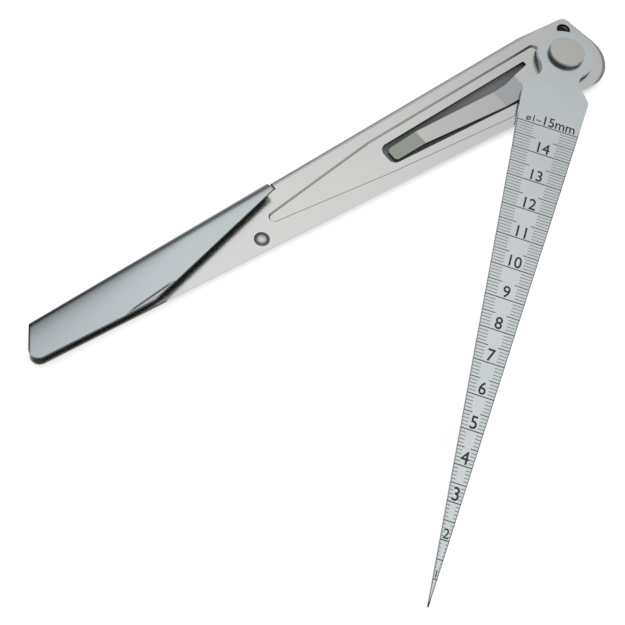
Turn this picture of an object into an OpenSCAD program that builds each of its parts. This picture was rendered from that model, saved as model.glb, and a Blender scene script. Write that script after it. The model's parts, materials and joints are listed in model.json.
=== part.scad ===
// Folding taper gauge: a tapered blade that turns on a rivet at the wide end of a folded sheet holder.
// The holder runs from the pivot towards -X, with its spine on the +Y side. The gauge lies open on its back.

/* [Blade] */
// Length of the taper, from the widest reading to where its edges would meet
scale_len = 120; // [105:1:135]
// Widest reading of the scale, equal to the blade's width there
scale_top = 15; // [12:0.5:18]
// Distance from the pivot to the widest reading
scale_start = 23.3; // [21:0.1:26]
// Width of the blunt tip
tip_w = 0.3; // [0.2:0.05:0.8]
// Thickness of the blade
blade_t = 1; // [0.8:0.05:1.5]
// Radius of the round head on the pivot
head_r = 7.1; // [6.6:0.1:7.6]
// Width of the neck between the head and the shoulders
neck_w = 9.4; // [8.4:0.1:10]
// Radius of the hollows on each side of the neck
neck_r = 3.6; // [2:0.1:4]
// Angle between the blade's axis and the flank of a shoulder
shoulder_slope = 38; // [34:1:50]
// Radius of the shoulders
shoulder_r = 3; // [1:0.5:4]
// Angle between the blade and the holder's spine as the gauge lies open
rest_angle = 35.1; // [10:0.1:80]

/* [Holder] */
// Thickness of the folded sheet
sheet_t = 0.8; // [0.6:0.05:1]
// Rim of the holder around the blade's head
end_rim = 2.8; // [2.4:0.1:4]
// Radius of the holder's round end
end_round = 9; // [8:0.1:9.5]
// Angle between the spine and the lower edge
edge_taper = 4.9; // [4.4:0.1:5.3]
// Length of the holder past the folded blade's tip
tip_cover = 2.8; // [2:0.1:8]
// Angle of the far end from square
end_slant = 33; // [10:1:40]
// Radius of the far end's lower corner
end_r = 2; // [1:0.5:4]
// Distance from the pivot to where the spine slopes down to the lanyard corner
spine_slope_at = 6; // [4:0.5:12]

/* [Pocket] */
// Distance from the pivot to the start of the fold
fold_start = 83.8; // [78:0.1:92]
// Width of the flap's flat where the fold starts
flap_end = 0.8; // [0.2:0.1:1.2]
// Angle between the spine and the diagonal edge of the mouth
mouth_angle = 12.1; // [11:0.1:14]
// Length of the flared lip on each side of the mouth's corner
lip_len = 7.6; // [5:0.1:10]
// Angle of the flared lip
lip_angle = 28; // [10:1:40]
// Room between the folded blade and the flap above it
flap_clear = 0.3; // [0.2:0.05:0.6]
// Room between the folded blade's back edge and the fold
side_clear = 1.05; // [0.6:0.05:1.5]
// Width of the relief notch beside the fold
notch_w = 1.5; // [0.4:0.1:2]

/* [Panel] */
// Depth of the pressed panel
panel_depth = 0.5; // [0.3:0.05:0.7]
// Run of the panel's sloping wall
panel_run = 0.4; // [0.2:0.05:0.6]
// Margin between the panel and the spine
panel_margin = 3.2; // [2.7:0.1:3.7]
// Margin between the panel and the lower edge, at the pivot's side
panel_low_margin = 1.7; // [1.4:0.1:2.2]
// Margin between the panel and the lower edge, where the panel starts to narrow
panel_waist_margin = 3; // [2.4:0.1:3.4]
// Distance from the pivot to where the panel starts to narrow
panel_waist = 56.5; // [56:0.5:62]
// Distance from the pivot to the panel's rounded point
panel_end = 87.9; // [84:0.1:90]
// Height of the panel's rounded point above the pivot line
panel_point_y = 3.7; // [3:0.1:4.4]
// Radius of the panel's rounded point
panel_point_r = 1.3; // [0.9:0.1:1.6]
// Radius of the panel's other corners
panel_r = 1.5; // [1:0.1:2]

/* [Spring] */
// Distance from the pivot to the spring's root
spring_root = 14; // [13:0.1:16]
// Distance from the pivot to the spring's low bend
spring_bend = 21; // [18:0.5:26]
// Distance from the pivot to the spring's crest
spring_crest = 45.5; // [40:0.5:48]
// Distance from the pivot to the spring's free end
spring_tip = 53.6; // [52:0.1:54]
// Distance from the pivot to the root end of the upper slot
slot_upper_root = 9; // [8.5:0.1:11]
// Distance from the pivot to the root end of the lower slot
slot_lower_root = 12.6; // [11:0.1:13]
// Depth of the low bend under the panel
spring_dip = 0.9; // [0.4:0.05:1.4]
// Angle of the free end past the crest
spring_tip_angle = 10; // [4:0.5:11]
// Room between the spring's crest and the folded blade
spring_clear = 0.3; // [0.2:0.05:0.5]
// Margin between the slot and the panel's upper edge
slot_margin = 2.5; // [2:0.1:2.8]
// Margin between the slot and the holder's lower edge
slot_low_margin = 4.9; // [4.6:0.1:5.2]
// Width of the slot around the spring
slot_w = 1.2; // [0.9:0.05:1.4]
// Extra width of the upper slot near the root
slot_flare = 1.5; // [0.6:0.05:1.6]

/* [Pivot] */
// Radius of the rivet's shank
shank_r = 2.5; // [2:0.1:3]
// Running clearance of the blade around the shank
pivot_play = 0.05; // [0.02:0.01:0.1]
// Play of the blade between the washer and the rivet's head
face_play = 0.02; // [0.01:0.01:0.05]
// Clearance of a fixed shank in its hole
seat_play = 0.02; // [0.01:0.01:0.03]
// Radius of the rivet's head
rivet_r = 4.4; // [3.5:0.05:5]
// Height of the rivet's head
rivet_h = 1.1; // [0.8:0.1:2]
// Chamfer around the rivet's head
rivet_chamfer = 0.25; // [0.1:0.05:0.5]
// Radius of the rivet's closed tail
tail_r = 3.4; // [3.2:0.1:4]
// Height of the rivet's closed tail
tail_h = 0.6; // [0.3:0.05:0.8]
// Thickness of the washer under the blade
washer_t = 0.5; // [0.4:0.05:0.8]
// Radius of the washer under the blade
washer_r = 6; // [5:0.1:6.2]

/* [Keeper and lanyard] */
// Distance from the pivot to the keeper stud
keeper_at = 92.3; // [88:0.1:100]
// Radius of the keeper stud's dome
keeper_r = 1.75; // [1.4:0.05:2]
// Radius of the keeper stud's shank
keeper_shank_r = 1.1; // [0.8:0.05:1.3]
// Gap between the keeper stud and the folded blade's edge, seen from above
keeper_gap = 0.1; // [0.05:0.05:0.3]
// Room between the keeper stud and the blade that passes over it
keeper_clear = 0.15; // [0.1:0.05:0.2]
// Radius of the lanyard hole
lanyard_r = 1.7; // [1.2:0.1:2]
// Direction of the lanyard hole from the pivot
lanyard_angle = 47; // [42:1:52]
// Gap between the blade's head and the lanyard hole, seen from above
lanyard_gap = 0.2; // [0.1:0.05:0.5]
// Width of the holder's rim around the lanyard hole
lanyard_rim = 1.1; // [0.8:0.1:1.6]
// Radius of the corner around the lanyard hole
lanyard_corner_r = 2; // [1:0.1:2.5]

/* [Hidden] */
$fn = 96;
arc_step = 5;
hollow_steps = 10;
cut = 0.1;
reach = 40;

// The blade's taper, and where its two edges would meet
half_taper = atan(scale_top / (2 * scale_len));
apex_at = scale_start + scale_len;
tip_at = apex_at - tip_w * scale_len / scale_top;
function half_width(x) = (apex_at - x) * tan(half_taper);

// Each hollow of the neck runs from the head to the flank of its shoulder, and touches both
hollow_y = neck_w / 2 + neck_r;
hollow_at = sqrt(pow(head_r + neck_r, 2) - pow(hollow_y, 2));
hollow_turn = atan2(hollow_y, hollow_at);
hollow_sweep = 90 - hollow_turn + shoulder_slope;
function hollow_angle(i) = 180 + hollow_turn + hollow_sweep * i / hollow_steps;
function hollow_point(i) = [hollow_at, hollow_y] + neck_r * [cos(hollow_angle(i)), sin(hollow_angle(i))];
flank = hollow_point(hollow_steps);
shoulder_at = flank.x + (half_width(flank.x) - flank.y) / (tan(shoulder_slope) + tan(half_taper));
function flipped(p) = [p.x, -p.y];

// Heights of the layers, from the spring's low bend upwards
panel_z = spring_dip;
plate_z = panel_z + panel_depth;
plate_top = plate_z + sheet_t;
washer_top = plate_top + washer_t;
blade_z = washer_top + face_play;
blade_top = blade_z + blade_t;
flap_z = blade_top + flap_clear;
fold_r = (flap_z - plate_top) / 2;
rivet_z = blade_top + face_play;

// The holder's edges: folded, the blade's back edge lies parallel to the spine
folded_back_y = apex_at * sin(half_taper);
spine_y = folded_back_y + side_clear + sheet_t;
fold_y = spine_y - fold_r - sheet_t;
holder_len = tip_at + tip_cover;
pivot_end_r = head_r + end_rim;
lanyard_at = (head_r + lanyard_gap + lanyard_r) * [cos(lanyard_angle), sin(lanyard_angle)];
lanyard_corner = lanyard_at + (lanyard_r + lanyard_rim) * [1, 1];
function lower_y(x) = -pivot_end_r / cos(edge_taper) - x * tan(edge_taper);
function folded_edge_y(x) = folded_back_y - (x + apex_at * cos(half_taper)) * tan(2 * half_taper);

// The pivot's end is a round about the pivot, between the lower edge and a tangent from the lanyard's corner
lanyard_tangent = atan2(lanyard_corner.y, lanyard_corner.x) - acos(pivot_end_r / norm(lanyard_corner));
pivot_end_mid = (lanyard_tangent - 90 - edge_taper) / 2;
pivot_end_half = (lanyard_tangent + 90 + edge_taper) / 2;
pivot_corner = pivot_end_r / cos(pivot_end_half) * [cos(pivot_end_mid), sin(pivot_end_mid)];
end_edge_len = (spine_y - lower_y(-holder_len)) / (cos(end_slant) + sin(end_slant) * tan(edge_taper));
end_corner = [-holder_len, spine_y] - end_edge_len * [sin(end_slant), cos(end_slant)];
holder_corners = [
    [-holder_len, spine_y, 0],
    [end_corner.x, end_corner.y, end_r],
    [pivot_corner.x, pivot_corner.y, end_round],
    [lanyard_corner.x, lanyard_corner.y, lanyard_corner_r],
    [-spine_slope_at, spine_y, 0]
];

// The mouth's corner, where the flap's diagonal edge meets the lower edge
mouth_x = -(pivot_end_r / cos(edge_taper) + fold_y - flap_end + fold_start * tan(mouth_angle))
    / (tan(mouth_angle) + tan(edge_taper));
mouth_corner = [mouth_x, lower_y(mouth_x)];
lip_from = mouth_corner + lip_len * [-cos(edge_taper), sin(edge_taper)];
lip_to = mouth_corner + lip_len * [cos(mouth_angle), sin(mouth_angle)];
crease = lip_to - lip_from;
crease_len = norm(crease);
lip_depth = sqrt(pow(lip_len, 2) - pow(crease_len / 2, 2));
lip_inset = lip_len / 6;
lip_slit = 0.05;
function lip_edge_y(x) = -lip_depth * min(x, crease_len - x) / (crease_len / 2);
lip_turns = [for (i = [0 : 4]) lip_angle * i / 4];
lip_profile = concat(
    [[lip_inset / 2, 0], [0, 0], lip_len * [-cos(lip_angle), sin(lip_angle)]],
    [lip_len * [-cos(lip_angle), sin(lip_angle)] - sheet_t * [sin(lip_angle), cos(lip_angle)]],
    [for (i = [4 : -1 : 0]) -sheet_t * [sin(lip_turns[i]), cos(lip_turns[i])]],
    [[lip_inset / 2, -sheet_t]]
);

// The panel's corner circles, from its point round to its lower waist
panel_top_y = spine_y - panel_margin;
panel_low_x = -spring_root;
panel_circles = [
    [-panel_end + panel_point_r, panel_point_y, panel_point_r],
    [-panel_waist, panel_top_y - panel_r, panel_r],
    [-pivot_end_r / 2, panel_top_y - panel_r, panel_r],
    [panel_low_x, lower_y(panel_low_x) + panel_low_margin + panel_r, panel_r],
    [-panel_waist, lower_y(-panel_waist) + panel_waist_margin + panel_r, panel_r]
];
panel_rate = panel_run / panel_depth;
function front_grow(z) = (z - plate_top) * panel_rate;
function back_grow(z) = front_grow(z) + sheet_t * sqrt(1 + panel_rate * panel_rate);

// The spring's slot and its side view
slot_y = panel_top_y - slot_margin;
slot_end = spring_tip + slot_w * 1.5;
function slot_low_y(x) = lower_y(x) + slot_low_margin;
spring_rise = washer_top - spring_clear - panel_z - sheet_t;
spring_end = spring_tip + cut;
slot_corners = [
    [-slot_end, slot_y, slot_w * 1.7],
    [-slot_upper_root, slot_y, slot_w * 0.35],
    [-slot_upper_root, slot_y - slot_w, slot_w * 0.35],
    [-spring_bend + slot_w * 3, slot_y - slot_w - slot_flare, slot_w * 4],
    [-spring_tip, slot_y - slot_w, slot_w * 0.8],
    [-spring_tip, slot_low_y(-spring_tip) + slot_w * 0.8, slot_w * 0.8],
    [-slot_lower_root, slot_low_y(-slot_lower_root) + slot_w * 0.8, slot_w * 0.35],
    [-slot_lower_root, slot_low_y(-slot_lower_root), slot_w * 0.35],
    [-slot_end, slot_low_y(-slot_end), slot_w * 1.5]
];
spring_stations = [
    [-spring_root + slot_w, 0],
    [-spring_root, 0],
    [-spring_bend, -spring_dip],
    [-spring_crest, spring_rise],
    [-spring_end, spring_rise - (spring_end - spring_crest) * tan(spring_tip_angle)]
];

// The keeper stud stands beside the folded blade's lower edge
keeper_pos = [-keeper_at, folded_edge_y(-keeper_at) - keeper_r - keeper_gap];
keeper_h = washer_t - keeper_clear;
keeper_sphere_r = (keeper_r * keeper_r + keeper_h * keeper_h) / (2 * keeper_h);

// Rounds each [x, y, radius] corner of an outline with an arc, and leaves a corner of radius 0 sharp
function unit(v) = v / norm(v);
function corner_arc(before, at, after, r) =
    let (
        p = [at.x, at.y],
        u = unit([before.x, before.y] - p),
        v = unit([after.x, after.y] - p),
        half = acos(u * v) / 2,
        centre = p + unit(u + v) * r / sin(half),
        from = p + u * r / tan(half) - centre,
        start = atan2(from.y, from.x),
        sweep = (180 - 2 * half) * sign(cross(v, u)),
        steps = ceil(abs(sweep) / arc_step)
    )
    [for (i = [0 : steps]) let (a = start + sweep * i / steps) centre + r * [cos(a), sin(a)]];
function rounded(corners) = let (n = len(corners)) [
    for (i = [0 : n - 1])
        each corners[i][2] == 0
            ? [[corners[i].x, corners[i].y]]
            : corner_arc(corners[(i + n - 1) % n], corners[i], corners[(i + 1) % n], corners[i][2])
];

// One side of the blade, from inside its head along the neck and shoulder to the tip
blade_side = concat(
    [0.95 * hollow_point(0)],
    [for (i = [1 : hollow_steps]) hollow_point(i)],
    corner_arc(flank, [shoulder_at, half_width(shoulder_at)], [tip_at, tip_w / 2], shoulder_r),
    [[tip_at, tip_w / 2]]
);

// The frame's origin is under the middle of the box around the open gauge
holder_points = rounded(holder_corners);
rest_tip = -tip_at * [cos(rest_angle), sin(rest_angle)];
rest_tip_half = tip_w / 2 * [sin(rest_angle), cos(rest_angle)];
box_low = [
    min(min([for (p = holder_points) p.x]), rest_tip.x - rest_tip_half.x),
    min(-pivot_end_r, rest_tip.y - rest_tip_half.y)
];
box_high = [max([for (p = holder_points) p.x]), spine_y];
pivot_pos = -(box_low + box_high) / 2;
module from_pivot() translate([pivot_pos.x, pivot_pos.y, 0]) children();

module holder_outline() polygon(holder_points);

// The flat plate stops where the fold's bend begins
module base_plate() {
    translate([0, 0, plate_z])
        linear_extrude(sheet_t)
            difference() {
                holder_outline();
                translate([-holder_len - reach, fold_y])
                    square([holder_len + reach - fold_start, reach]);
                translate([-fold_start - cut, fold_y])
                    square([notch_w + cut, reach]);
            }
}

// The bend turns the sheet back over itself along the spine
module fold() {
    intersection() {
        translate([-holder_len - reach, fold_y, plate_top + fold_r])
            rotate([0, 90, 0])
                rotate_extrude(angle = 180)
                    translate([fold_r, 0])
                        square([sheet_t, holder_len + reach - fold_start]);
        linear_extrude(reach)
            holder_outline();
    }
}

module on_crease() translate(lip_from) rotate([0, 0, atan2(crease.y, crease.x)]) children();

module flap() {
    translate([0, 0, flap_z])
        linear_extrude(sheet_t)
            difference() {
                intersection() {
                    holder_outline();
                    polygon([
                        [-fold_start, fold_y],
                        [-fold_start, fold_y - flap_end],
                        mouth_corner,
                        [-holder_len - reach, -reach],
                        [-holder_len - reach, fold_y]
                    ]);
                }
                on_crease()
                    translate([lip_inset, -2 * lip_depth])
                        square([crease_len - 2 * lip_inset, 2 * lip_depth]);
            }
}

// The mouth's corner is bent up along a crease, to lead the blade in
module lip() {
    from = lip_inset + lip_slit;
    to = crease_len - from;
    intersection() {
        translate([0, 0, flap_z + sheet_t])
            on_crease()
                rotate([90, 0, 90])
                    linear_extrude(crease_len)
                        polygon(lip_profile);
        linear_extrude(reach)
            on_crease()
                polygon([
                    [from, lip_inset],
                    [from, lip_edge_y(from)],
                    [crease_len / 2, -lip_depth],
                    [to, lip_edge_y(to)],
                    [to, lip_inset]
                ]);
    }
}

module panel_form(z_low, z_high, grow_low, grow_high) {
    hull()
        for (c = panel_circles)
            translate([c.x, c.y, z_low])
                cylinder(r1 = c[2] + grow_low, r2 = c[2] + grow_high, h = z_high - z_low, $fn = 32);
}

module spring_window(root) {
    polygon(rounded([
        [-slot_end, slot_y, slot_w * 1.7],
        [-root, slot_y, 0],
        [-root, slot_low_y(-root), 0],
        [-slot_end, slot_low_y(-slot_end), slot_w * 1.5]
    ]));
}

// The spring dips at its root, rises to a crest under the folded blade, and turns down at its free end
module spring() {
    top = [for (s = spring_stations) s + [0, panel_z + sheet_t]];
    under = [for (i = [len(top) - 1 : -1 : 0]) top[i] - [0, sheet_t]];
    intersection() {
        translate([0, reach / 2, 0])
            rotate([90, 0, 0])
                linear_extrude(reach)
                    polygon(concat(top, under));
        translate([0, 0, -cut])
            linear_extrude(reach)
                difference() {
                    spring_window(spring_root - slot_w);
                    polygon(rounded(slot_corners));
                }
    }
}

module holder() color([0.78, 0.79, 0.80]) from_pivot() {
    difference() {
        union() {
            base_plate();
            panel_form(panel_z, plate_z + cut, back_grow(panel_z), back_grow(plate_z + cut));
        }
        panel_form(panel_z + sheet_t, plate_top + cut, front_grow(panel_z + sheet_t), front_grow(plate_top + cut));
        linear_extrude(reach) {
            spring_window(spring_root);
            polygon(rounded(slot_corners));
        }
        cylinder(r = shank_r + seat_play, h = reach);
        translate(lanyard_at)
            cylinder(r = lanyard_r, h = reach);
        translate(keeper_pos)
            cylinder(r = keeper_shank_r + seat_play, h = reach);
    }
    spring();
    fold();
    flap();
    lip();
}

// The blade is drawn along +X from the pivot, then turned to its open place
module gauge_blade() color([0.85, 0.86, 0.86]) from_pivot() {
    translate([0, 0, blade_z])
        rotate([0, 0, 180 + rest_angle])
            difference() {
                union() {
                    cylinder(r = head_r, h = blade_t);
                    linear_extrude(blade_t)
                        polygon(concat(
                            blade_side,
                            [for (i = [len(blade_side) - 1 : -1 : 0]) flipped(blade_side[i])]
                        ));
                }
                translate([0, 0, -cut])
                    cylinder(r = shank_r + pivot_play, h = blade_t + 2 * cut);
            }
}

module pivot_rivet() color([0.72, 0.73, 0.74]) from_pivot() {
    rotate_extrude()
        polygon([
            [0, plate_z - tail_h],
            [tail_r - tail_h / 2, plate_z - tail_h],
            [tail_r, plate_z - tail_h / 2],
            [tail_r, plate_z],
            [shank_r, plate_z],
            [shank_r, rivet_z],
            [rivet_r, rivet_z],
            [rivet_r, rivet_z + rivet_h - rivet_chamfer],
            [rivet_r - rivet_chamfer, rivet_z + rivet_h],
            [0, rivet_z + rivet_h]
        ]);
}

module friction_washer() color([0.66, 0.66, 0.66]) from_pivot() {
    translate([0, 0, plate_top])
        difference() {
            cylinder(r = washer_r, h = washer_t);
            translate([0, 0, -cut])
                cylinder(r = shank_r + seat_play, h = washer_t + 2 * cut);
        }
}

module keeper_stud() color([0.55, 0.56, 0.58]) from_pivot() {
    translate([keeper_pos.x, keeper_pos.y, plate_top]) {
        intersection() {
            translate([0, 0, keeper_h - keeper_sphere_r])
                sphere(keeper_sphere_r);
            cylinder(r = keeper_r + cut, h = keeper_h + cut);
        }
        translate([0, 0, -sheet_t])
            cylinder(r = keeper_shank_r, h = sheet_t + keeper_h / 2);
    }
}

holder();
gauge_blade();
pivot_rivet();
friction_washer();
keeper_stud();
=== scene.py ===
import json
import math

import bmesh
import bpy
from mathutils import Matrix, Quaternion, Vector


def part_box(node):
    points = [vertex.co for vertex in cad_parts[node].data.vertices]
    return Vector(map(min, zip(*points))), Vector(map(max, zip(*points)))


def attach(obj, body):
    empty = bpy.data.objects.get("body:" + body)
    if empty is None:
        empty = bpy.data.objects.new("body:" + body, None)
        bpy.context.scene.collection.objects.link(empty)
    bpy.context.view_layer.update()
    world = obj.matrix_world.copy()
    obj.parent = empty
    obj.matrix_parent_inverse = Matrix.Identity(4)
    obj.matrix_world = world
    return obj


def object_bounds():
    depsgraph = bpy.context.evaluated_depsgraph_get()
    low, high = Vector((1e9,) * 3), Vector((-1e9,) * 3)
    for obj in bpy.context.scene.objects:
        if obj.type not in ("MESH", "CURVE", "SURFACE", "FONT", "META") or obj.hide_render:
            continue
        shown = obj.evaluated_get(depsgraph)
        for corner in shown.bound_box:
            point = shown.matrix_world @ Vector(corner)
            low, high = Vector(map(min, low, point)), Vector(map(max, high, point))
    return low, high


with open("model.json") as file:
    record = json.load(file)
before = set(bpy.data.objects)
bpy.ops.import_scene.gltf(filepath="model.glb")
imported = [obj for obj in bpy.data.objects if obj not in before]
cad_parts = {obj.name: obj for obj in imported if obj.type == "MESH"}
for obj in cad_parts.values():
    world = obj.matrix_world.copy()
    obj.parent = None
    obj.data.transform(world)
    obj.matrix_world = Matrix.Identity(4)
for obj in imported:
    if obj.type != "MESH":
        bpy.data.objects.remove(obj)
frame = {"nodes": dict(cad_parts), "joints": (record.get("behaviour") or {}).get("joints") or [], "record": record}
cadLow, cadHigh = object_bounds()
scene = bpy.context.scene
scene.view_settings.view_transform = "Standard"
mm = 0.001
hair = 0.05 * mm  # points closer than this to a face belong to it

# the pivot, the blade's turn and the sheet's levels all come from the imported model
pivot = Vector(frame["joints"][0]["pos_m"])
holderLow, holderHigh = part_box("holder")
spine = holderHigh[1]
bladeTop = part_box("gauge_blade")[1][2]
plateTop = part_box("friction_washer")[0][2]
foldMiddle = (plateTop + bladeTop) / 2
holderPoints = [v.co for v in frame["nodes"]["holder"].data.vertices]
notchEnd = min(p.x for p in holderPoints if p.y > spine - hair and p.z < plateTop + hair)
bladePoints = [v.co for v in frame["nodes"]["gauge_blade"].data.vertices]
tipReach = max((p - pivot).length for p in bladePoints)
tipPoints = [p for p in bladePoints if (p - pivot).length > tipReach - 2 * hair]
tipMiddle = sum(tipPoints, Vector()) / len(tipPoints)
bladeTurn = math.atan2(tipMiddle.y - pivot.y, tipMiddle.x - pivot.x)

# the plate's lower edge runs at a taper to the spine, as far from the pivot as its round end
plateTaper = math.radians(4.9)
plateReach = 9.9 * mm
towardsLower = Vector((-math.sin(plateTaper), -math.cos(plateTaper), 0))
print("frame read, blade turned", round(math.degrees(bladeTurn), 2), "degrees")


def newMaterial(name):
    mat = bpy.data.materials.new(name)
    mat.use_nodes = True
    nodes = mat.node_tree.nodes
    nodes.clear()
    out = nodes.new("ShaderNodeOutputMaterial")
    shader = nodes.new("ShaderNodeBsdfPrincipled")
    mat.node_tree.links.new(shader.outputs["BSDF"], out.inputs["Surface"])
    return mat, shader


def feed(mat, socket, value):
    if isinstance(value, bpy.types.NodeSocket):
        mat.node_tree.links.new(value, socket)
    else:
        socket.default_value = value


def addNode(mat, kind, inputs=None, **settings):
    node = mat.node_tree.nodes.new(kind)
    for key, value in settings.items():
        setattr(node, key, value)
    for key, value in (inputs or {}).items():
        feed(mat, node.inputs[key], value)
    return node


def math2(mat, operation, a, b=0):
    return addNode(mat, "ShaderNodeMath", {0: a, 1: b}, operation=operation).outputs[0]


def times(mat, product, *factors):
    for factor in factors:
        product = math2(mat, "MULTIPLY", product, factor)
    return product


def vector2(mat, operation, a, b=(0, 0, 0)):
    node = addNode(mat, "ShaderNodeVectorMath", {0: a, 1: b}, operation=operation)
    givesNumber = operation in ("DOT_PRODUCT", "DISTANCE", "LENGTH")
    return node.outputs["Value" if givesNumber else "Vector"]


# a Mix node has its own sockets for each kind of data, told apart by their identifiers
def mixOf(mat, dataType, ending, factor, a, b):
    mix = addNode(mat, "ShaderNodeMix", data_type=dataType)
    sockets = {socket.identifier: socket for socket in mix.inputs}
    feed(mat, sockets["Factor_Float"], factor)
    feed(mat, sockets["A_" + ending], a)
    feed(mat, sockets["B_" + ending], b)
    return next(socket for socket in mix.outputs if socket.identifier == "Result_" + ending)


def mixColor(mat, factor, a, b):
    return mixOf(mat, "RGBA", "Color", factor, a, b)


def mixValue(mat, factor, a, b):
    return mixOf(mat, "FLOAT", "Float", factor, a, b)


def rangeOf(mat, value, low, high, outLow=0, outHigh=1):
    limits = {"From Min": low, "From Max": high, "To Min": outLow, "To Max": outHigh}
    return addNode(mat, "ShaderNodeMapRange", {"Value": value, **limits}).outputs["Result"]


# rises from 0 to 1 over a band, whose two ends are counted back from the limit
def nearLimit(mat, value, limit, band):
    return rangeOf(mat, value, limit - band[0], limit - band[1])


def tint(r, g, b):
    return (r, g, b, 1)


# a point on a piece, in the frame that all the pieces share
def placeOf(mat):
    return addNode(mat, "ShaderNodeTexCoord").outputs["Object"]


def splitUp(mat, vector):
    return addNode(mat, "ShaderNodeSeparateXYZ", {0: vector}).outputs


def facingOf(mat):
    return splitUp(mat, addNode(mat, "ShaderNodeTexCoord").outputs["Normal"])


# the pattern's middle moves to a point, and it turns about the upright there
def placedAt(mat, place, middle, turn=0):
    settings = {"Vector": place, "Location": middle, "Rotation": (0, 0, turn)}
    return addNode(mat, "ShaderNodeMapping", settings, vector_type="TEXTURE").outputs[0]


# distance from an upright axis
def awayFrom(mat, place, axis):
    flat = vector2(mat, "MULTIPLY", vector2(mat, "SUBTRACT", place, axis), (1, 1, 0))
    return vector2(mat, "LENGTH", flat)


grainNoise = {"Scale": 1.0, "Detail": 3.0, "Roughness": 0.6}


# fine lines left by grinding, long one way and close together the other way
def grainOf(mat, place, lineLength, lineWidth):
    fineness = (1 / lineLength, 1 / lineWidth, 1 / lineWidth)
    squeezed = addNode(mat, "ShaderNodeMapping", {"Vector": place, "Scale": fineness}).outputs[0]
    return addNode(mat, "ShaderNodeTexNoise", {"Vector": squeezed, **grainNoise}).outputs[0]


def cloudOf(mat, place, size, detail=2.0):
    noise = {"Vector": place, "Scale": 1 / size, "Detail": detail}
    return addNode(mat, "ShaderNodeTexNoise", noise).outputs[0]


def bumpOf(mat, height, depth, strength):
    relief = {"Height": height, "Distance": depth, "Strength": strength}
    return addNode(mat, "ShaderNodeBump", relief).outputs[0]


# how upright a face is: 1 on cut edges and 0 on flat sides
def edgeOf(mat, facing, band):
    return rangeOf(mat, math2(mat, "ABSOLUTE", facing["Z"]), *band)


def dress(mat, shader, tone, rough, bump=None, metallic=1.0):
    feed(mat, shader.inputs["Base Color"], tone)
    feed(mat, shader.inputs["Roughness"], rough)
    if bump is not None:
        feed(mat, shader.inputs["Normal"], bump)
    shader.inputs["Metallic"].default_value = metallic
    return mat


# bands are where a change starts and where it is full
holderLook = {
    "front": tint(0.70, 0.71, 0.69),
    "frontWorn": tint(0.635, 0.645, 0.625),
    "frontRough": (0.17, 0.29),
    "back": tint(0.47, 0.525, 0.55),
    "backPale": tint(0.60, 0.655, 0.675),
    "backRough": (0.22, 0.36),
    "roughBand": (0.2, 0.8),
    "grainLength": 9 * mm,
    "grainWidth": 0.12 * mm,
    "grainBand": (0.3, 0.7),
    "millSize": 0.45 * mm,
    "millDetail": 4.0,
    "patchSize": 14 * mm,
    "patchBand": (0.35, 0.75),
    "patchShare": 0.5,
    "bump": (0.01 * mm, 0.25),
    "levelFaces": (0.93, 0.95),
    "bentFaces": (-0.10, -0.12),
    # painted shade on the tongue's bent ends
    "bentRoot": tint(0.345, 0.36, 0.37),
    "bentTip": tint(0.28, 0.305, 0.265),
    "tongueMiddle": 33 * mm,
    # painted light on the tongue's long face
    "rubbedFaces": (0.03, 0.05),
    "litFacet": tint(0.75, 0.75, 0.725),
    # painted shade on sloped faces, such as the panel's walls
    "pressedFaces": (0.92, 0.86),
    "pressed": tint(0.40, 0.41, 0.39),
    "rim": tint(0.20, 0.20, 0.20),
    "rimPale": tint(0.44, 0.44, 0.44),
    "rimBand": (1.0 * mm, 0.2 * mm),
    "endRim": tint(0.30, 0.30, 0.30),
    "endBand": (0.35 * mm, 0.105 * mm),
    "endFade": 2 * mm,
    "cornerBand": (-2.5 * mm, -2 * mm),
    "tickAcross": (-0.35 * mm, -0.245 * mm),
    "tickAlong": (1.75 * mm, 1.575 * mm),
    # dark tone for the painted shade along the fold, also used for the far end's band and the tick beside the
    # notch
    "fold": tint(0.02, 0.021, 0.024),
    "foldBand": (1.6 * mm, 1.1 * mm),
    "foldAtNotch": 0.56,
    "foldShade": 0.6,
    "shadeAtEnd": 2.7 * mm,
    "shadeAtNotch": 0.35 * mm,
    "shadeUntil": 0.62,
    "dullUntil": 0.5,
    "dullShare": 0.5,
    "paleFrom": 0.3,
    "paleShare": 0.7,
    "farSlant": 33,
    "farBand": (0.5 * mm, 0.15 * mm),
    # painted light on the flared lip
    "lip": tint(0.90, 0.94, 0.95),
    "lipRough": 0.6,
    "lipFaces": (0.40, 0.44),
    "lipInset": (4 * mm, 5 * mm),
    "crease": tint(0.13, 0.13, 0.14),
    "creaseBand": (0.32 * mm, 0.096 * mm),
    "creaseFade": 2 * mm,
    "edgeFaces": (0.35, 0.2),
    "plateEdge": tint(0.15, 0.15, 0.15),
    # painted light on the long lower edge, and painted shade on the pocket's edges
    "lowerEdgeLit": tint(0.56, 0.57, 0.56),
    "lowerBand": (0.6 * mm, 0.3 * mm),
    "pocketShade": tint(0.02, 0.02, 0.022),
    "mouthShade": 3.5 * mm,
    "mouthFade": 1 * mm,
}


# painted light and shade on the tongue's facets: its bent ends are darker and its long face lighter, after how
# each facet faces the light, and sloped walls get a painted shade
def toneTongue(mat, look, spot, facing, tone):
    level = rangeOf(mat, facing["Z"], *look["levelFaces"])
    bent = times(mat, rangeOf(mat, facing["X"], *look["bentFaces"]), level)
    litFacet = times(mat, rangeOf(mat, facing["X"], *look["rubbedFaces"]), level)
    atRoot = math2(mat, "GREATER_THAN", spot["X"], pivot.x - look["tongueMiddle"])
    bentTone = mixColor(mat, atRoot, look["bentTip"], look["bentRoot"])
    tone = mixColor(mat, bent, tone, bentTone)
    tone = mixColor(mat, litFacet, tone, look["litFacet"])
    # painted shade on sloped faces
    pressed = rangeOf(mat, facing["Z"], *look["pressedFaces"])
    return mixColor(mat, pressed, tone, look["pressed"])
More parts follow.
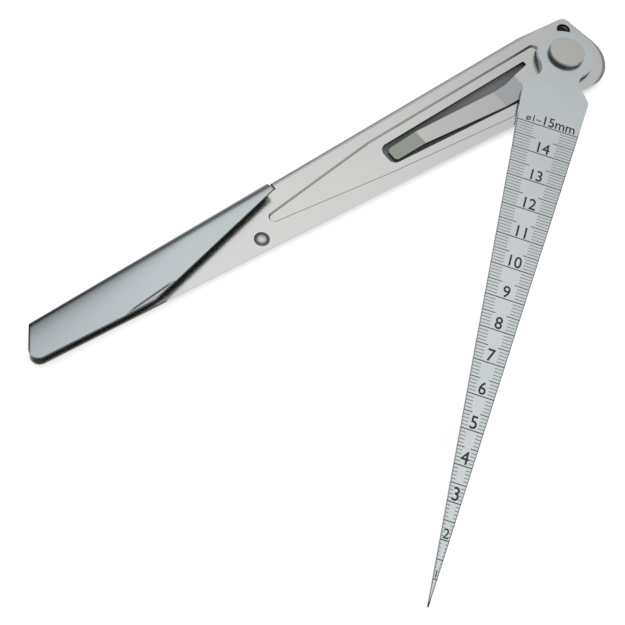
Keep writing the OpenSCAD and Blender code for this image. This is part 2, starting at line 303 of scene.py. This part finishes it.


# a dark band runs along the plate's outline at the spine, paler towards the pivot, another round the pivot end,
# and a dark tick beside the notch
def toneRims(mat, look, place, spot, tone):
    toPivot = rangeOf(mat, spot["X"], notchEnd, pivot.x)
    rimTone = mixColor(mat, toPivot, look["rim"], look["rimPale"])
    tone = mixColor(mat, nearLimit(mat, spot["Y"], spine, look["rimBand"]), tone, rimTone)
    atRound = nearLimit(mat, awayFrom(mat, place, pivot), plateReach, look["endBand"])
    pastPivot = rangeOf(mat, spot["X"], pivot.x, pivot.x + look["endFade"])
    belowCorner = nearLimit(mat, spot["Y"], pivot.y, look["cornerBand"])
    tone = mixColor(mat, times(mat, atRound, pastPivot, belowCorner), tone, look["endRim"])
    besideNotch = nearLimit(mat, spot["X"], notchEnd, look["tickAcross"])
    atSpine = nearLimit(mat, spot["Y"], spine, look["tickAlong"])
    return mixColor(mat, times(mat, besideNotch, atSpine), tone, look["fold"])


def toneFront(mat, look, place, spot, facing, grain):
    tone = mixColor(mat, rangeOf(mat, grain, *look["grainBand"]), look["frontWorn"], look["front"])
    patches = cloudOf(mat, place, look["patchSize"])
    clean = rangeOf(mat, patches, *look["patchBand"], 0, look["patchShare"])
    tone = mixColor(mat, clean, tone, look["front"])
    tone = toneTongue(mat, look, spot, facing, tone)
    return toneRims(mat, look, place, spot, tone)


# painted shade from the bend: a dark line along the spine, and a shade beside it that dies away towards the notch
def foldShade(mat, look, spot, toNotch):
    line = nearLimit(mat, spot["Y"], spine, look["foldBand"])
    line = times(mat, line, rangeOf(mat, toNotch, 0, 1, 1, look["foldAtNotch"]))
    offLine = math2(mat, "SUBTRACT", spine - look["foldBand"][0], spot["Y"])
    fadeLength = rangeOf(mat, toNotch, 0, look["shadeUntil"], look["shadeAtEnd"], look["shadeAtNotch"])
    fading = math2(mat, "POWER", math.exp(-1), math2(mat, "DIVIDE", offLine, fadeLength))
    fading = math2(mat, "MINIMUM", times(mat, fading, look["foldShade"]), look["foldShade"])
    return math2(mat, "MAXIMUM", line, fading)


# painted shade in the flared lip's crease: a dark line across the mouth's corner
def creaseOf(mat, look, place, spot):
    lipStart = spine - look["lipInset"][1]
    lipSlope = look["lipFaces"][0]
    sheetFaces = frame["nodes"]["holder"].data.polygons
    flapFaces = [f for f in sheetFaces if f.center.z > foldMiddle and f.center.y < lipStart]
    lipFaces = [f for f in flapFaces if f.normal.y > lipSlope and f.normal.z > lipSlope]
    lipNormal = max(lipFaces, key=lambda face: face.area).normal
    lipPoints = [holderPoints[i] for face in lipFaces for i in face.vertices]
    fromLip = Vector((lipNormal.x, lipNormal.y, 0)).normalized()
    creaseAt = max(p.dot(fromLip) for p in lipPoints)
    offCrease = math2(mat, "SUBTRACT", vector2(mat, "DOT_PRODUCT", place, fromLip), creaseAt)
    onLine = rangeOf(mat, math2(mat, "ABSOLUTE", offCrease), *look["creaseBand"])
    first, last = min(p.x for p in lipPoints), max(p.x for p in lipPoints)
    afterFirst = rangeOf(mat, spot["X"], first, first + look["creaseFade"])
    beforeLast = rangeOf(mat, spot["X"], last, last - look["creaseFade"])
    return times(mat, onLine, afterFirst, beforeLast)


def toneBack(mat, look, place, spot, mill, onLip):
    tone = mixColor(mat, rangeOf(mat, mill, *look["grainBand"]), look["back"], look["backPale"])
    toNotch = rangeOf(mat, spot["X"], holderLow[0], notchEnd)
    dull = rangeOf(mat, toNotch, look["dullUntil"], 0, 0, look["dullShare"])
    tone = mixColor(mat, dull, tone, look["back"])
    pale = rangeOf(mat, toNotch, look["paleFrom"], 1, 0, look["paleShare"])
    tone = mixColor(mat, pale, tone, look["backPale"])
    # painted shade along the fold
    tone = mixColor(mat, foldShade(mat, look, spot, toNotch), tone, look["fold"])
    # a thin dark band runs along the far end's slanted cut
    slant = math.radians(look["farSlant"])
    outwards = Vector((-math.cos(slant), math.sin(slant), 0))
    farthest = max(p.dot(outwards) for p in holderPoints)
    atEnd = nearLimit(mat, vector2(mat, "DOT_PRODUCT", place, outwards), farthest, look["farBand"])
    tone = mixColor(mat, atEnd, tone, look["fold"])
    # painted light on the flared lip
    tone = mixColor(mat, onLip, tone, look["lip"])
    # painted shade in the lip's crease
    return mixColor(mat, creaseOf(mat, look, place, spot), tone, look["crease"])


# painted light makes the long lower edge brighter than the stamped holes' edges, and painted shade makes the
# pocket's edge darker
def toneEdge(mat, look, place, spot):
    lowerLimit = pivot.dot(towardsLower) + plateReach
    lowered = vector2(mat, "DOT_PRODUCT", place, towardsLower)
    atLower = nearLimit(mat, lowered, lowerLimit, look["lowerBand"])
    flapPoints = [p for p in holderPoints if p.z > foldMiddle]
    lowerFlap = [p for p in flapPoints if p.dot(towardsLower) > lowerLimit - look["lowerBand"][1]]
    shadeEnd = max(p.x for p in lowerFlap) + look["mouthShade"]
    inPocket = rangeOf(mat, spot["X"], shadeEnd, shadeEnd - look["mouthFade"])
    onFlap = math2(mat, "GREATER_THAN", spot["Z"], foldMiddle)
    tone = mixColor(mat, atLower, look["plateEdge"], look["lowerEdgeLit"])
    return mixColor(mat, math2(mat, "MAXIMUM", inPocket, onFlap), tone, look["pocketShade"])


def makeHolderSteel(look):
    mat, shader = newMaterial("holderSteel")
    place = placeOf(mat)
    spot = splitUp(mat, place)
    facing = facingOf(mat)
    # the fold turns the sheet's back up on the flap
    aboveFold = math2(mat, "SUBTRACT", spot["Z"], foldMiddle)
    isBack = math2(mat, "GREATER_THAN", times(mat, aboveFold, facing["Z"]), 0)
    grain = grainOf(mat, place, look["grainLength"], look["grainWidth"])
    mill = cloudOf(mat, place, look["millSize"], look["millDetail"])
    # the flared lip gets painted light in its colour, and a matt roughness
    inside = nearLimit(mat, spot["Y"], spine, look["lipInset"])
    onLip = times(mat, rangeOf(mat, facing["Y"], *look["lipFaces"]), inside)
    frontTone = toneFront(mat, look, place, spot, facing, grain)
    backTone = toneBack(mat, look, place, spot, mill, onLip)
    tone = mixColor(mat, isBack, frontTone, backTone)
    isEdge = edgeOf(mat, facing, look["edgeFaces"])
    tone = mixColor(mat, isEdge, tone, toneEdge(mat, look, place, spot))
    frontRough = rangeOf(mat, grain, *look["roughBand"], *look["frontRough"])
    backRough = rangeOf(mat, mill, *look["roughBand"], *look["backRough"])
    backRough = mixValue(mat, onLip, backRough, look["lipRough"])
    rough = mixValue(mat, isBack, frontRough, backRough)
    height = mixValue(mat, isBack, grain, mill)
    return dress(mat, shader, tone, rough, bumpOf(mat, height, *look["bump"]))


# the scale's lines, with the blade's width at each line equal to its reading
scaleMarks = {
    "topReading": 15,
    "lastTenth": 6,
    "topLineAt": 23.3 * mm,
    "runPerReading": 8 * mm,
    "lineWidth": 0.25 * mm,
    "halfWidth": 0.22 * mm,
    "halfGap": 0.29,
    "halfGapFrom": 4,
    "tickWidth": 0.22 * mm,
    "tickGap": 0.44,
    "edgeInset": 0.06 * mm,
    "rise": 0.006 * mm,
    "sink": 0.02 * mm,
}
topReading = scaleMarks["topReading"]


def readingAt(reading):
    return scaleMarks["topLineAt"] + (topReading - reading) * scaleMarks["runPerReading"]


bladeLook = {
    "face": tint(0.69, 0.735, 0.745),
    "faceWorn": tint(0.61, 0.65, 0.665),
    "rough": (0.20, 0.32),
    "roughBand": (0.2, 0.8),
    "grainLength": 0.1 * mm,
    "grainWidth": 3 * mm,
    "grainBand": (0.3, 0.7),
    "patchSize": 9 * mm,
    "patchBand": (0.3, 0.7),
    "patchShare": 0.6,
    "bump": (0.006 * mm, 0.2),
    "rim": tint(0.20, 0.21, 0.215),
    "rimBand": (0.32 * mm, 0.096 * mm),
    "rimStarts": 15.3,
    "tip": tint(0.05, 0.05, 0.055),
    "tipBand": (1.8 * mm, 0.72 * mm),
    "edge": tint(0.72, 0.74, 0.75),
    "edgeFaces": (0.6, 0.4),
}


def makeBladeSteel(look):
    mat, shader = newMaterial("bladeSteel")
    place = placeOf(mat)
    onBlade = placedAt(mat, place, pivot, bladeTurn)
    grain = grainOf(mat, onBlade, look["grainLength"], look["grainWidth"])
    tone = mixColor(mat, rangeOf(mat, grain, *look["grainBand"]), look["faceWorn"], look["face"])
    patches = cloudOf(mat, place, look["patchSize"])
    clean = rangeOf(mat, patches, *look["patchBand"], 0, look["patchShare"])
    tone = mixColor(mat, clean, tone, look["face"])
    # a thin band along the two long edges is darker
    along = splitUp(mat, onBlade)
    halfWide = rangeOf(mat, along["X"], readingAt(topReading), readingAt(0), topReading * mm / 2, 0)
    inwards = math2(mat, "SUBTRACT", halfWide, math2(mat, "ABSOLUTE", along["Y"]))
    atRim = rangeOf(mat, inwards, *look["rimBand"])
    onTaper = rangeOf(mat, along["X"], readingAt(look["rimStarts"]), readingAt(topReading))
    tone = mixColor(mat, times(mat, atRim, onTaper), tone, look["rim"])
    atTip = nearLimit(mat, vector2(mat, "DISTANCE", place, pivot), tipReach, look["tipBand"])
    tone = mixColor(mat, atTip, tone, look["tip"])
    isEdge = edgeOf(mat, facingOf(mat), look["edgeFaces"])
    tone = mixColor(mat, isEdge, tone, look["edge"])
    rough = rangeOf(mat, grain, *look["roughBand"], *look["rough"])
    return dress(mat, shader, tone, rough, bumpOf(mat, grain, *look["bump"]))


rivetLook = {
    "face": tint(0.635, 0.645, 0.59),
    "groove": tint(0.54, 0.53, 0.54),
    "grooveShare": 0.7,
    "ringGap": 0.16 * mm,
    "ringWander": 0.6,
    "ringDetail": 2.0,
    "patchSize": 2.5 * mm,
    "patchBand": (0.35, 0.7),
    "patchShare": 0.6,
    "rough": (0.23, 0.34),
    "roughBand": (0.3, 0.7),
    "bump": (0.006 * mm, 0.25),
    # painted shade on the head's side wall
    "side": tint(0.12, 0.12, 0.117),
    "sideFaces": (0.9, 0.5),
}
waveLength = 0.314  # gap between a wave texture's rings at a scale of 1


def makeRivetSteel(look):
    mat, shader = newMaterial("rivetSteel")
    place = placeOf(mat)
    turned = {
        "Vector": placedAt(mat, place, pivot),
        "Scale": waveLength / look["ringGap"],
        "Distortion": look["ringWander"],
        "Detail": look["ringDetail"],
    }
    rings = addNode(mat, "ShaderNodeTexWave", turned, wave_type="RINGS", rings_direction="Z").outputs[1]
    patches = cloudOf(mat, place, look["patchSize"])
    tone = mixColor(mat, times(mat, rings, look["grooveShare"]), look["face"], look["groove"])
    clean = rangeOf(mat, patches, *look["patchBand"], 0, look["patchShare"])
    tone = mixColor(mat, clean, tone, look["face"])
    # painted shade on the head's side wall
    isSide = edgeOf(mat, facingOf(mat), look["sideFaces"])
    tone = mixColor(mat, isSide, tone, look["side"])
    rough = rangeOf(mat, patches, *look["roughBand"], *look["rough"])
    return dress(mat, shader, tone, rough, bumpOf(mat, rings, *look["bump"]))


studLook = {
    "crown": tint(0.54, 0.54, 0.55),
    # painted reflection: a dark ring round the dome's crown
    "ring": tint(0.17, 0.17, 0.18),
    "ringBand": (0.75 * mm, 1.15 * mm),
    "scuffSize": 0.4 * mm,
    "scuffDetail": 3.0,
    "scuffBand": (0.3, 0.6),
    "scuffTone": (0.8, 1),
    "rough": (0.12, 0.18),
    "roughBand": (0.3, 0.7),
}


def makeStudSteel(look):
    mat, shader = newMaterial("studSteel")
    place = placeOf(mat)
    studLow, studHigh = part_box("keeper_stud")
    axis = (Vector(studLow) + Vector(studHigh)) / 2
    scuff = cloudOf(mat, place, look["scuffSize"], look["scuffDetail"])
    # painted reflection of dark surroundings in a ring round the dome, broken up by scuffs
    domeRimReflection = rangeOf(mat, awayFrom(mat, place, axis), *look["ringBand"])
    domeRimReflection = times(mat, domeRimReflection, rangeOf(mat, scuff, *look["scuffBand"], *look["scuffTone"]))
    tone = mixColor(mat, domeRimReflection, look["crown"], look["ring"])
    return dress(mat, shader, tone, rangeOf(mat, scuff, *look["roughBand"], *look["rough"]))


washerLook = {
    "face": tint(0.50, 0.50, 0.49),
    "dull": tint(0.38, 0.38, 0.38),
    "scuffSize": 0.6 * mm,
    "scuffDetail": 3.0,
    "scuffBand": (0.4, 0.7),
    "rough": (0.39, 0.48),
    "roughBand": (0.3, 0.7),
    "bump": (0.004 * mm, 0.15),
}


def makeWasherSteel(look):
    mat, shader = newMaterial("washerSteel")
    scuff = cloudOf(mat, placeOf(mat), look["scuffSize"], look["scuffDetail"])
    tone = mixColor(mat, rangeOf(mat, scuff, *look["scuffBand"]), look["face"], look["dull"])
    rough = rangeOf(mat, scuff, *look["roughBand"], *look["rough"])
    return dress(mat, shader, tone, rough, bumpOf(mat, scuff, *look["bump"]))


# numbers, whole and half lines, and tenths are filled with ink that has worn thin in places
inkLook = {"thinSize": 0.5 * mm, "thinDetail": 3.0, "thinBand": (0.4, 0.75), "roughBand": (0.3, 0.7)}
inkTones = {
    "markInk": {"dark": tint(0.028, 0.03, 0.04), "thin": tint(0.075, 0.08, 0.095), "rough": (0.55, 0.70)},
    "lineInk": {"dark": tint(0.09, 0.095, 0.10), "thin": tint(0.16, 0.165, 0.17), "rough": (0.50, 0.65)},
    "fineInk": {"dark": tint(0.36, 0.37, 0.365), "thin": tint(0.45, 0.46, 0.455), "rough": (0.50, 0.65)},
}


def makeInk(name, look, tones):
    mat, shader = newMaterial(name)
    thinning = cloudOf(mat, placeOf(mat), look["thinSize"], look["thinDetail"])
    tone = mixColor(mat, rangeOf(mat, thinning, *look["thinBand"]), tones["dark"], tones["thin"])
    rough = rangeOf(mat, thinning, *look["roughBand"], *tones["rough"])
    return dress(mat, shader, tone, rough, metallic=0.0)


inks = {name: makeInk(name, inkLook, tones) for name, tones in inkTones.items()}
finishes = {
    "holder": makeHolderSteel(holderLook),
    "gauge_blade": makeBladeSteel(bladeLook),
    "pivot_rivet": makeRivetSteel(rivetLook),
    "friction_washer": makeWasherSteel(washerLook),
    "keeper_stud": makeStudSteel(studLook),
}
print("materials made")

# the CAD pieces keep their shape and get their finish
for nodeName, finish in finishes.items():
    part = frame["nodes"][nodeName]
    part.data.materials.clear()
    part.data.materials.append(finish)
print("CAD pieces dressed")

# blade frame: x from the pivot to the tip, y across the blade, z up from its face
bladePlace = Matrix.Translation((pivot.x, pivot.y, bladeTop)) @ Matrix.Rotation(bladeTurn, 4, "Z")


def addMark(bm, along, width, fromSide, toSide):
    low, high = -scaleMarks["sink"], scaleMarks["rise"]
    middle = Matrix.Translation((along, (fromSide + toSide) / 2, (low + high) / 2))
    size = Matrix.Diagonal((width, abs(toSide - fromSide), high - low, 1))
    bmesh.ops.create_cube(bm, size=1.0, matrix=bladePlace @ middle @ size)


def addPair(bm, along, width, inner, outer):
    addMark(bm, along, width, -outer, -inner)
    addMark(bm, along, width, inner, outer)


def finishPiece(bm, name, material):
    mesh = bpy.data.meshes.new(name)
    bm.to_mesh(mesh)
    bm.free()
    piece = bpy.data.objects.new(name, mesh)
    scene.collection.objects.link(piece)
    mesh.materials.append(material)
    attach(piece, "blade_body")


lineMesh = bmesh.new()
tickMesh = bmesh.new()
for tenth in range(topReading * 10, scaleMarks["lastTenth"] - 1, -1):
    reading = tenth / 10
    half = reading * mm / 2 - scaleMarks["edgeInset"]
    along = readingAt(reading)
    if tenth % 10 == 0:
        addMark(lineMesh, along, scaleMarks["lineWidth"], -half, half)
    elif tenth % 5 == 0:
        inner = reading * mm * scaleMarks["halfGap"] / 2 if reading > scaleMarks["halfGapFrom"] else 0
        addPair(lineMesh, along, scaleMarks["halfWidth"], inner, half)
    else:
        addPair(tickMesh, along, scaleMarks["tickWidth"], half * scaleMarks["tickGap"], half)
finishPiece(lineMesh, "scaleLines", inks["lineInk"])
finishPiece(tickMesh, "scaleTicks", inks["fineInk"])
print("graduations cut")

# numbers stand on their lines, with their tops towards the head
numerals = {
    "height": 3.0 * mm,
    "smallHeights": {2: 2.1 * mm, 1: 1.5 * mm},
    "aboveLine": 0.35 * mm,
    "narrow": 0.86,
    "weight": 0.011,
    "curveSteps": 6,
    "relief": 0.0006,
    "unitHeight": 2.7 * mm,
    "unitAside": 2.4 * mm,
    "rangeHeight": 2.0 * mm,
    "rangeAside": -3.6 * mm,
}
textUp = Matrix.Rotation(math.radians(90), 4, "Z")  # text's top points back to the pivot


def addText(bm, words, height, along, aside):
    curve = bpy.data.curves.new("words", "FONT")
    curve.body = words
    curve.align_x = "CENTER"
    curve.bevel_depth = numerals["weight"]  # a thin bevel thickens the strokes
    curve.bevel_resolution = 0
    curve.resolution_u = numerals["curveSteps"]
    textObject = bpy.data.objects.new("words", curve)
    scene.collection.objects.link(textObject)
    bpy.context.view_layer.update()
    mesh = bpy.data.meshes.new_from_object(textObject.evaluated_get(bpy.context.evaluated_depsgraph_get()))
    bpy.data.objects.remove(textObject)
    bpy.data.curves.remove(curve)
    textLow = min(v.co.y for v in mesh.vertices)
    textHigh = max(v.co.y for v in mesh.vertices)
    grow = height / (textHigh - textLow)
    onLine = Matrix.Translation((along - numerals["aboveLine"], aside, scaleMarks["rise"]))
    mesh.transform(Matrix.Translation((0, -textLow, 0)))
    mesh.transform(Matrix.Diagonal((grow * numerals["narrow"], grow, numerals["relief"], 1)))
    mesh.transform(bladePlace @ onLine @ textUp)
    bm.from_mesh(mesh)
    bpy.data.meshes.remove(mesh)


numberMesh = bmesh.new()
for reading in range(1, topReading):
    tall = numerals["smallHeights"].get(reading, numerals["height"])
    addText(numberMesh, str(reading), tall, readingAt(reading), 0)
addText(numberMesh, f"{topReading}mm", numerals["unitHeight"], readingAt(topReading), numerals["unitAside"])
addText(numberMesh, "ø1~", numerals["rangeHeight"], readingAt(topReading), numerals["rangeAside"])
finishPiece(numberMesh, "scaleNumbers", inks["markInk"])
print("numbers placed")

# pale paper that glows to white; painted shade leaves its glow out under the holder, so that its slot and hole
# stay dark, and a painted contact shadow dims it beside the pieces
floorLook = {
    "size": 6.0,
    "drop": 0.02 * mm,
    "tone": tint(0.36, 0.36, 0.36),
    "rough": 0.9,
    "specular": 0.1,
    "shadeReach": 3 * mm,
    "shadeSamples": 16,
    "shadeBand": (0.40, 0.97),
    "glow": (0.60, 0.96),
    "underReach": 9.2 * mm,
    "underSlant": 8.28 * mm,
    "underCorner": 13.4 * mm,
    "underBand": (0.6 * mm, 0),
    # painted shadow on the paper under the lanyard hole
    "holeShadow": tint(0.05, 0.05, 0.05),
    "holeReach": 3.1 * mm,
    "holeBand": (0.24 * mm, 0),
}
white = tint(1, 1, 1)


# painted shade under the holder: 0 under the holder and 1 outside it, from a straight limit on each side
def outsideHolder(mat, look, place):
    lowerCorner, upperCorner = Vector((1, -1, 0)).normalized(), Vector((1, 1, 0)).normalized()
    limits = (
        (Vector((0, 1, 0)), spine),
        (Vector((-1, 0, 0)), -notchEnd),
        (towardsLower, pivot.dot(towardsLower) + look["underReach"]),
        (Vector((1, 0, 0)), pivot.x + look["underReach"]),
        (lowerCorner, pivot.dot(lowerCorner) + look["underSlant"]),
        (upperCorner, pivot.dot(upperCorner) + look["underCorner"]),
    )
    outside = 0
    for outwards, limit in limits:
        beyond = nearLimit(mat, vector2(mat, "DOT_PRODUCT", place, outwards), limit, look["underBand"])
        outside = math2(mat, "MAXIMUM", outside, beyond)
    return outside


def makePaper(look):
    mat, shader = newMaterial("floorPaper")
    place = placeOf(mat)
    ray = addNode(mat, "ShaderNodeLightPath").outputs
    seen = math2(mat, "MAXIMUM", ray["Is Camera Ray"], ray["Is Glossy Ray"])
    seen = math2(mat, "MAXIMUM", seen, ray["Is Transmission Ray"])
    shadeInputs = {"Distance": look["shadeReach"]}
    shade = addNode(mat, "ShaderNodeAmbientOcclusion", shadeInputs, samples=look["shadeSamples"])
    glow = rangeOf(mat, shade.outputs["AO"], *look["shadeBand"], *look["glow"])
    # painted shadow under the lanyard hole: no glow and a dark paper tone there
    hole = Vector(next(m["pos_m"] for m in frame["record"]["mounts"] if m["name"] == "lanyard_hole"))
    offHole = nearLimit(mat, awayFrom(mat, place, hole), look["holeReach"], look["holeBand"])
    glow = times(mat, seen, glow, outsideHolder(mat, look, place), offHole)
    feed(mat, shader.inputs["Emission Strength"], glow)
    shader.inputs["Emission Color"].default_value = white
    shader.inputs["Specular IOR Level"].default_value = look["specular"]
    tone = mixColor(mat, offHole, look["holeShadow"], look["tone"])
    return dress(mat, shader, tone, look["rough"], metallic=0.0)


def makeFloor(look):
    bm = bmesh.new()
    bmesh.ops.create_grid(bm, x_segments=1, y_segments=1, size=look["size"] / 2)
    bmesh.ops.translate(bm, verts=bm.verts, vec=(0, 0, cadLow[2] - look["drop"]))
    mesh = bpy.data.meshes.new("floor")
    bm.to_mesh(mesh)
    bm.free()
    mesh.materials.append(makePaper(look))
    floor = bpy.data.objects.new("floor", mesh)
    scene.collection.objects.link(floor)


# an even studio with a soft overhead glow, and a white sweep that meets the floor at the horizon
worldLook = {
    "zenith": tint(0.42, 0.42, 0.43),
    "horizon": tint(0.36, 0.36, 0.37),
    "zenithBand": (0.0, 0.8),
    "glow": tint(1.08, 1.08, 1.08),
    "glowTowards": Vector((0.25, 0.25, 0.935)).normalized(),
    "glowBand": (0.85, 0.99),
    "sweepBand": (0.14, 0.03),
    "strength": 1.0,
}


def makeWorld(look):
    world = bpy.data.worlds.new("studioWorld")
    world.use_nodes = True
    scene.world = world
    towards = addNode(world, "ShaderNodeTexCoord").outputs["Generated"]
    height = splitUp(world, towards)["Z"]
    tone = mixColor(world, rangeOf(world, height, *look["zenithBand"]), look["horizon"], look["zenith"])
    nearGlow = vector2(world, "DOT_PRODUCT", towards, look["glowTowards"])
    tone = mixColor(world, rangeOf(world, nearGlow, *look["glowBand"]), tone, look["glow"])
    tone = mixColor(world, rangeOf(world, height, *look["sweepBand"]), tone, white)
    background = world.node_tree.nodes["Background"]
    feed(world, background.inputs["Color"], tone)
    background.inputs["Strength"].default_value = look["strength"]


# one large soft box in front, on the blade's side
frontBox = {"spot": Vector((0.2, -1.6, 0.75)), "size": 2.0, "power": 5.5}


def makeLamp(look):
    lamp = bpy.data.lights.new("frontBox", "AREA")
    lamp.shape = "SQUARE"
    lamp.size = look["size"]
    lamp.energy = look["power"]
    lampObject = bpy.data.objects.new("frontBox", lamp)
    lampObject.location = look["spot"]
    lampObject.rotation_euler = (-look["spot"]).to_track_quat("-Z", "Y").to_euler()
    scene.collection.objects.link(lampObject)


makeFloor(floorLook)
makeWorld(worldLook)
makeLamp(frontBox)
print("studio lit")

# the camera stands over the blade's side and looks down across the holder
cameraLook = {
    "fromPivot": Vector((-188.24, -89.92, 221.42)) * mm,
    "heading": 36.86,
    "lookDown": 62.20,
    "roll": 16.64,
    "lens": 69.12,
    "sensor": 36.0,
    "nearest": 10 * mm,
}


def makeCamera(look):
    camera = bpy.data.cameras.new("photoCamera")
    camera.lens = look["lens"]
    camera.sensor_width = look["sensor"]
    camera.clip_start = look["nearest"]
    rig = bpy.data.objects.new("photoCamera", camera)
    heading, down = math.radians(look["heading"]), math.radians(look["lookDown"])
    ahead = Vector((math.cos(down) * math.cos(heading), math.cos(down) * math.sin(heading), -math.sin(down)))
    level = ahead.to_track_quat("-Z", "Y")
    rig.rotation_mode = "QUATERNION"
    rig.rotation_quaternion = level @ Quaternion((0, 0, 1), math.radians(look["roll"]))
    rig.location = Vector((pivot.x, pivot.y, bladeTop)) + look["fromPivot"]
    scene.collection.objects.link(rig)
    scene.camera = rig


makeCamera(cameraLook)
print("camera set")
